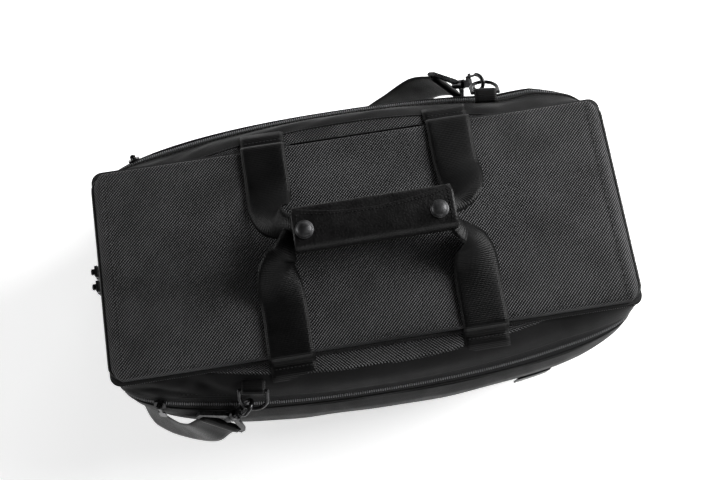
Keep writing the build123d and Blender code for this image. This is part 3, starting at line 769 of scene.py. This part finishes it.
def leg(side, twist):
    """A handle's left leg from its seam to the middle of the grip; twist 1 turns its inner edge up, -1 down."""
    low = [(108.0, 184.4), (104.2, 187.9), (101.0, 189.2), (96.2, 190.2)]
    low += [(93.8, 193.0), (92.2, 198.8), (89.0, 201.6), (80.0, 202.3)]
    rows = [(-72.4, y, z, 1, 0, 0, 38, 0.0) for y, z in low]
    t = 0.8 * twist
    rows += [(-72.2, 60.0, 202.9, 1, 0, 0, 38, 0.1), (-72.6, 47.0, 204.4, 1, 0, 0.05 * t, 38, 0.25),
             (-73.2, 37.0, 208.0, 0.97, 0, 0.25 * t, 38, 0.3), (-73.4, 29.5, 212.0, 0.88, 0.05, 0.5 * t, 37, 0.5),
             (-72.4, 22.5, 216.5, 0.72, 0.2, 0.75 * t, 35, 0.8), (-69.0, 16.0, 221.5, 0.5, 0.42, 0.95 * t, 31, 1.2),
             (-63.0, 11.0, 226.5, 0.25, 0.7, 0.8 * t, 26, 1.8)]
    level, middle = (234.4, 7.5) if side > 0 else (229.4, -5.0)
    rows += [(-54.5, middle + 1.0, level - 2.0, 0.08, 0.95, 0.4 * t, 21, 2.3),
             (-45.0, middle, level, 0, 1, 0, 19, 2.6), (-20.0, middle, level, 0, 1, 0, 19, 2.6),
             (8.0, middle, level, 0, 1, 0, 19, 2.6)]
    return [(x, side * y, z, u, side * v, w, width, side * cup) for x, y, z, u, v, w, width, cup in rows]


def handle(name, body, side, twists, node):
    """One webbing handle: two legs, folded as they turn into the grip."""
    rows = leg(side, twists[0])
    for x, y, z, u, v, w, width, cup in reversed(leg(side, twists[1])[:-1]):
        rows.append((16.0 - x, y, z, -u, v, w, width, cup))
    web = ribbon(name, rows, WEBBING, 1.7)
    attach(web, body, (node,))
    for x0 in (-72.5, 88.5):
        pts = [(x0 - 16 + 32.0 * i / 12, side * 99.0, 190.55) for i in range(13)]
        tag = "left" if x0 < 0 else "right"
        seam = beads(f"{name}_stitches_{tag}", pts, (0, side * 0.3, 1), 3.2, (2.4, 0.7, 0.4), THREAD)
        attach(seam, body)


def leather_strip(name, profile, x0, x1, corner, thick, crown=0.0, dip=0.0):
    """A leather strip along the grip, following a (y, z) profile; its far edge has rounded corners and dips."""
    path = smooth_rows(profile, 6)
    dist = running([(0.0, y, z) for y, z in path])
    rows = []
    for k in range(49):
        row = []
        for i in range(61):
            f = i / 60
            s = dist[-1] * (k / 48) * (1.0 - dip * (1.0 - abs(2.0 * f - 0.95) ** 2.0))
            q = max(0, min(len(path) - 2, next((m for m, d in enumerate(dist) if d > s), len(dist)) - 1))
            t = (s - dist[q]) / (dist[q + 1] - dist[q])
            y = path[q][0] + (path[q + 1][0] - path[q][0]) * t
            z = path[q][1] + (path[q + 1][1] - path[q][1]) * t
            left = dist[-1] * (1 - k / 48)
            trim = corner - math.sqrt(max(0.0, corner * corner - (corner - left) ** 2)) if left < corner else 0.0
            x = x0 + trim + (x1 - x0 - 2 * trim) * f
            swell = crown * math.sin(math.pi * f) ** 0.5 * math.sin(math.pi * k / 48)
            row.append((x, y, z + swell + wrinkle(x, y, z, 22.0, 0.5)))
        rows.append(row)
    return grid(name, rows, LEATHER, thick), rows


def grip():
    """The leather wrap, its flap with stitching, and the two snaps."""
    wrap, _ = leather_strip("grip_under", [(-8, 239.0), (4, 239.6), (14, 240.2), (20.6, 239.4), (22.6, 235.0),
                                           (22.2, 229.0), (18.5, 225.0), (10, 223.6), (0, 223.6), (-7, 224.4),
                                           (-11.0, 226.4)], -54.5, 75.5, 4.0, 2.0, 0.5)
    attach(wrap, "rear_handle", ("grip_wrap",))
    profile = [(-12.4, 224.8), (-14.4, 229.0), (-14.0, 235.0), (-11.0, 239.6)]
    profile += [(-4.0, 242.0), (4.0, 242.8), (12.0, 243.0), (19.6, 242.4)]
    flap, rows = leather_strip("grip_cover", profile, -55.5, 76.5, 6.0, 2.0, 0.6, 0.17)
    attach(flap, "flap", ("grip_flap",))
    for tag, line in (("edge", rows[45][3:-3]), ("left", [row[2] for row in rows[20:46]]),
                      ("right", [row[-3] for row in rows[20:46]])):
        pts = [(x, y, z + 0.15) for x, y, z in line]
        attach(beads(f"grip_stitches_{tag}", pts, (0, 0.1, 1), 2.9, (2.0, 0.9, 0.4), HOLES), "flap")
    dome = [(7.6, -0.6), (7.7, 0.2), (7.3, 0.8), (6.7, 0.9), (6.5, 1.0)]
    dome += [(6.1, 1.7), (5.0, 2.5), (3.4, 3.1), (1.7, 3.4), (0.3, 3.45)]
    for x, tag in ((-46.0, "left"), (63.0, "right")):
        cap = lathe(f"snap_{tag}", dome, (x, 1.0, 243.1), (0, 0, 1), SNAP_METAL)
        attach(cap, "flap", ("snap_caps",))


def strap():
    """The shoulder strap: one long band from hook to hook, round the left end and folded behind."""
    rows = strap_route()
    band = ribbon("strap_band", [(*p, *w, WEB, 0.0) for p, w in rows], WEBBING, 1.6, 6)
    attach(band, "case", ("shoulder_strap",))


BOX_SIDES = [(0, 1, 3, 2), (4, 6, 7, 5), (0, 4, 5, 1), (2, 3, 7, 6), (0, 2, 6, 4), (1, 5, 7, 3)]


def foam_box(name, boxes, node):
    """Foam blocks with softened edges."""
    verts = []
    faces = []
    for x0, x1, y0, y1, z0, z1 in boxes:
        base = len(verts)
        verts += [(x, y, z) for x in (x0, x1) for y in (y0, y1) for z in (z0, z1)]
        faces += [tuple(base + i for i in side) for side in BOX_SIDES]
    obj = make_object(name, verts, faces, FOAM, smooth=False)
    soft = obj.modifiers.new("soft", "BEVEL")
    soft.width = 0.0012
    soft.segments = 2
    attach(obj, "case", (node,))


def trays():
    """Two foam trays with their cells."""
    for tag, z0, cells, spine in (("lower", 7.0, 3, False), ("upper", 94.0, 6, True)):
        z1, z2 = z0 + 6.0, z0 + 86.0
        foam_box(f"{tag}_foam_floor", [(-211, 211, -79, 79, z0, z1)], f"{tag}_tray_floor")
        rails = [(-211, 211, s * 73 - 6, s * 73 + 6, z1, z2) for s in (-1, 1)]
        rails += [(s * 205 - 6, s * 205 + 6, -67, 67, z1, z2) for s in (-1, 1)]
        foam_box(f"{tag}_foam_rails", rails, f"{tag}_tray_rails")
        pitch = 406.0 / cells
        walls = []
        for i in range(1, cells):
            x = -207.0 + i * pitch
            runs = [(-67, -4), (4, 67)] if spine else [(-67, 67)]
            walls += [(x, x + 8, y0, y1, z1, z2) for y0, y1 in runs]
        foam_box(f"{tag}_foam_dividers", walls, f"{tag}_tray_dividers")
        if spine:
            foam_box(f"{tag}_foam_spine", [(-199, 199, -4, 4, z1, z2)], f"{tag}_tray_spine")


def patch():
    """A small plain leather patch on the front pocket."""
    rows = []
    for j in range(15):
        row = []
        for i in range(17):
            x = 118.0 + 30.0 * i / 16
            z = 96.0 + 28.0 * j / 14
            swell = 0.5 * math.sin(math.pi * i / 16) * math.sin(math.pi * j / 14)
            row.append((x, -pocket_out(x, 134.6) - 1.6 - swell, z))
        rows.append(row)
    obj = grid("pocket_patch", rows, LEATHER, -1.6)
    attach(obj, "case", ("front_patch",))


RING_HALF = 11.6  # from a D-ring's middle to its wire
RING_DEPTH = 19.0  # from its bar to the far end of its bow
HOOK_REACH = 39.6  # from the ring's wire to the hook's strap bar

# for each D-ring and its hook: the ring's bar, the way along it, the way the bow falls, the hook's
# way out, the way along its strap bar, and how far round the bow the hook sits, in degrees
CLIPS = {"front": ((-108.0, -112.5, 189.2), (0.987, -0.16, 0.0), (0.0, -0.72, -0.69),
                   (-0.70, -0.17, -0.69), (-0.68, 0.35, 0.66), 30.0),
         "rear": ((127.5, 114.0, 189.2), (-0.99, 0.10, 0.0), (0.10, 0.78, -0.62),
                  (-0.65, 0.32, -0.69), (-0.55, 0.25, 0.79), 20.0)}


def rounded(vector, digits):
    """The vector with each part rounded."""
    return Vector([round(part, digits) for part in vector])


def hook_place(ring_bar, bar_way, bow_way, hook_way, loop_way, link):
    """A hook's strap bar, the way out from it along the strap, and the way along the bar."""
    along = Vector(bar_way).normalized()
    fall = Vector(bow_way).normalized()
    fall = (fall - along * fall.dot(along)).normalized()
    out = Vector(hook_way).normalized()
    lean = math.copysign(math.sin(math.radians(link)), out.dot(along))
    side = along * lean + fall * math.cos(math.radians(link))
    wire = Vector(ring_bar) + fall * (RING_DEPTH - RING_HALF) + side * RING_HALF
    loop = Vector(loop_way)
    across = (loop - out * loop.dot(out)).normalized()
    return rounded(wire + out * HOOK_REACH, 3), rounded(out, 4), rounded(across, 4)


HOOKS = {tag: hook_place(*clip) for tag, clip in CLIPS.items()}


def strap_route():
    """Rows of (place, direction across) along the strap from the front hook to the rear one."""
    up = (0.0, 0.0, 1.0)
    z = 19.4
    f_bar, f_u, f_b = HOOKS["front"]
    r_bar, r_u, r_b = HOOKS["rear"]
    rows = [(f_bar + f_u * 3.4, f_b), (f_bar + f_u * 12.0, f_b)]
    rows += [((-160, -134.5, 133), (-0.58, 0.42, 0.7)), ((-172, -131.5, 118), (-0.4, 0.42, 0.8))]
    rows += [((-186, -124.5, 106), (-0.15, 0.4, 0.88)), ((-199, -116, 98), (0.0, 0.44, 0.89))]
    rows += [((-211, -106, 91), (0.1, 0.38, 0.92)), ((-220, -94, 80), (0.1, 0.2, 0.97)), ((-227, -77, 67), up)]
    rows += [((-230, -50, 49), up)]
    rows += [((-231, 0, 33), up), ((-231, 50, 24), up), ((-229, 82, z + 1), up), ((-221, 105, z), up)]
    rows += [((-208, 124, z), up), ((-180, 136, z), up), ((-120, 143, z), up), ((-40, 147, z), up)]
    rows += [((60, 149, z), up), ((96, 150, z), up), ((106, 152, z), up), ((109, 155, z), up), ((106, 158, z), up)]
    rows += [((96, 160, z), up), ((40, 159, z), up), ((-20, 158, z), up), ((-30, 159, z), up), ((-33, 162, z), up)]
    rows += [((-30, 165, z), up), ((-20, 166, z), up), ((4, 165, z + 3), up), ((26, 162, z + 16), up)]
    rows += [((44, 158, z + 45), (-0.2, 0.05, 0.97)), ((60, 154, z + 76), (-0.45, 0.15, 0.85))]
    rows += [(r_bar + r_u * 27.4, r_b), (r_bar + r_u * 3.4, r_b)]
    return rows


def strap_ends():
    """The strap's sewn ends, turned round the hooks' bars."""
    for tag, (bar, u, b) in HOOKS.items():
        n = u.cross(b).normalized()
        sections = []
        for k in range(13):
            a = math.radians(-150.0 + 300.0 * k / 12)
            centre = bar - u * (2.9 * math.cos(a)) + n * (2.9 * math.sin(a))
            sections.append((*centre, *b, WEB, 0.0))
        fold = ribbon(f"strap_fold_{tag}", sections, WEBBING, 1.5, 2)
        attach(fold, "case")
        for k in range(3):
            at = bar + u * (10.0 + 7.0 * k) + n * 0.85
            pts = [at + b.normalized() * (-15.0 + 30.0 * i / 8) for i in range(9)]
            seam = beads(f"strap_stitches_{tag}_{k}", pts, n, 3.0, (2.2, 0.7, 0.4), THREAD)
            attach(seam, "case")


def ring_tabs():
    """The short webbing tabs that hold the D-rings, wrapped round the rings' bars."""
    for tag, (bar, bar_way, *_) in CLIPS.items():
        e = rounded(Vector(bar_way).normalized(), 5)
        out = Vector((e.y, -e.x, 0.0))
        arc = [(3.1 * math.cos(math.radians(t)), 3.1 * math.sin(math.radians(t))) for t in range(112, -113, -16)]
        profile = [(-8.5, -0.6), (-5.2, 1.4)] + arc + [(-4.6, -2.9), (-8.5, -3.2)]
        rows = [(*(Vector(bar) + out * r + Vector((0, 0, h))), *e, 19.0, 0.0) for r, h in profile]
        tab = ribbon(f"{tag}_tab_wrap", rows, WEBBING, 1.5, 3)
        attach(tab, "case", (f"{tag}_ring_tab",))


lid_cover()
lid_zipper()
ring_tabs()
body_shell()
pocket("front", -1)
pocket("rear", 1)
handle("front_web", "front_handle", -1, (-1, 1), "front_handle_webbing")
handle("rear_web", "rear_handle", 1, (1, -1), "rear_handle_webbing")
grip()
strap_ends()
strap()
trays()
patch()

METAL_NODES = ["front_d_ring", "rear_d_ring", "front_hook_claw", "rear_hook_claw", "front_hook_gate", "rear_hook_gate",
               "front_hook_loop", "rear_hook_loop", "lid_slider_front", "lid_slider_rear", "lid_pull_front",
               "lid_pull_rear", "front_pocket_slider", "rear_pocket_slider", "front_pocket_pull", "rear_pocket_pull",
               "snap_studs"]


def dress(node, mat):
    """Give a carried-over CAD node its material."""
    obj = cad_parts[node]
    obj = bpy.data.objects[obj] if isinstance(obj, str) else obj
    obj.data.materials.clear()
    obj.data.materials.append(mat)


for node in METAL_NODES:
    dress(node, METAL)


# ------------------------------------------------------------------ stage, light and camera
def stage():
    """A plain white floor under soft light."""
    corners = [(-30000, -30000, -0.3), (30000, -30000, -0.3), (30000, 30000, -0.3), (-30000, 30000, -0.3)]
    floor = make_object("floor", corners, [(0, 1, 2, 3)], FLOOR, smooth=False)
    world = bpy.data.worlds.new("studio")
    bpy.context.scene.world = world
    world.use_nodes = True
    background = world.node_tree.nodes["Background"]
    background.inputs["Strength"].default_value = 1.0
    tree = world.node_tree
    split = tree.nodes.new("ShaderNodeSeparateXYZ")
    height = tree.nodes.new("ShaderNodeMapRange")
    height.interpolation_type = "SMOOTHSTEP"
    height.inputs["From Min"].default_value = 0.02
    height.inputs["From Max"].default_value = 0.32
    height.inputs["To Min"].default_value = 0.95
    height.inputs["To Max"].default_value = 0.05
    tree.links.new(tree.nodes.new("ShaderNodeTexCoord").outputs["Generated"], split.inputs[0])
    tree.links.new(split.outputs[2], height.inputs["Value"])
    tree.links.new(height.outputs["Result"], background.inputs["Color"])
    lamps = (("right", (1.15, 0.25, 0.85), 0.8, 34.0), ("left", (-2.0, 0.4, 0.45), 1.0, 18.0),
             ("front", (0.5, -2.0, 0.7), 1.2, 9.0), ("back", (0.9, 1.9, 0.9), 0.9, 9.0))
    for name, place, size, power in lamps:
        light = bpy.data.lights.new(name, "AREA")
        light.size = size
        light.energy = power
        lamp = bpy.data.objects.new(name, light)
        lamp.location = place
        lamp.rotation_euler = (Vector((0, 0, 0.1)) - Vector(place)).to_track_quat("-Z", "Y").to_euler()
        bpy.context.scene.collection.objects.link(lamp)


def camera():
    """A 50 mm view from nearly above, leaning forward and turned a little."""
    data = bpy.data.cameras.new("camera")
    data.lens = 50.0
    data.sensor_width = 36.0
    obj = bpy.data.objects.new("camera", data)
    turn = Vector((-0.2489, 0.0111, 0.1564))
    rotation = Quaternion(turn.normalized(), turn.length).to_matrix()
    obj.matrix_world = Matrix.Translation(Vector((-27.7, -208.1, 1010.2)) * MM) @ rotation.transposed().to_4x4()
    bpy.context.scene.collection.objects.link(obj)
    bpy.context.scene.camera = obj


FLOOR_NODES = Nodes("white_floor", rough=0.5, specular=0.2)
FLOOR_NODES.ramp(FLOOR_NODES.noise(3.0), 0.2, 0.8, (0.93, 0.93, 0.93), (0.96, 0.96, 0.96))
FLOOR = FLOOR_NODES.mat
FLOOR_NODES.bsdf.inputs["Emission Color"].default_value = (1, 1, 1, 1)
FLOOR_NODES.bsdf.inputs["Emission Strength"].default_value = 0.6
stage()
camera()
bpy.context.scene.view_settings.view_transform = "Standard"
